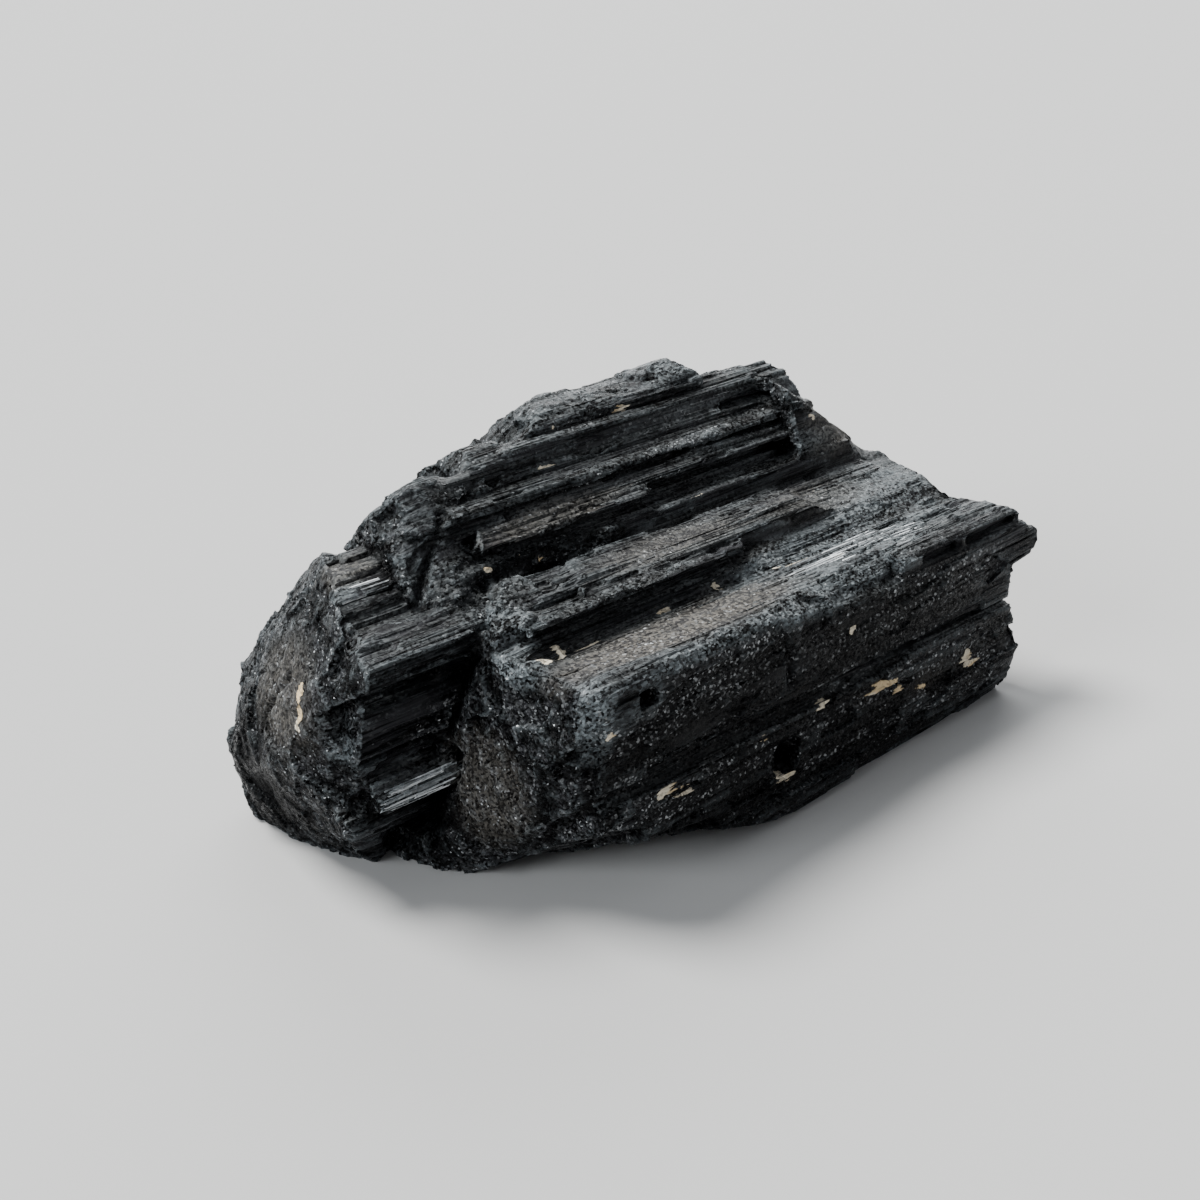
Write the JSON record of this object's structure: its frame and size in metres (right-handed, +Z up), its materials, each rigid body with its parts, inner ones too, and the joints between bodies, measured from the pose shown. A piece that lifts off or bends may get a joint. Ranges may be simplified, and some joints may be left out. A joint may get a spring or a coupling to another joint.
{
  "type": "raw black tourmaline",
  "caption": "Hand-sized broken block of raw black tourmaline: parallel striated crystals grown together, stepped ridges on top, a granular near end, lying on a flat underside.",
  "frame": {"origin": "centre of the underside: the middle of the bounding box in X and Y, on the plane the stone rests on", "axes": "+X along the crystals, away from the granular near end; +Y from the tall front face towards the back; +Z up from the resting plane to the crest"},
  "size_m": [0.1858, 0.111, 0.0852],
  "materials": {
    "schorl": "satin"
  },
  "bodies": {
    "root": {"tourmaline": "schorl"}
  },
  "joints": []
}
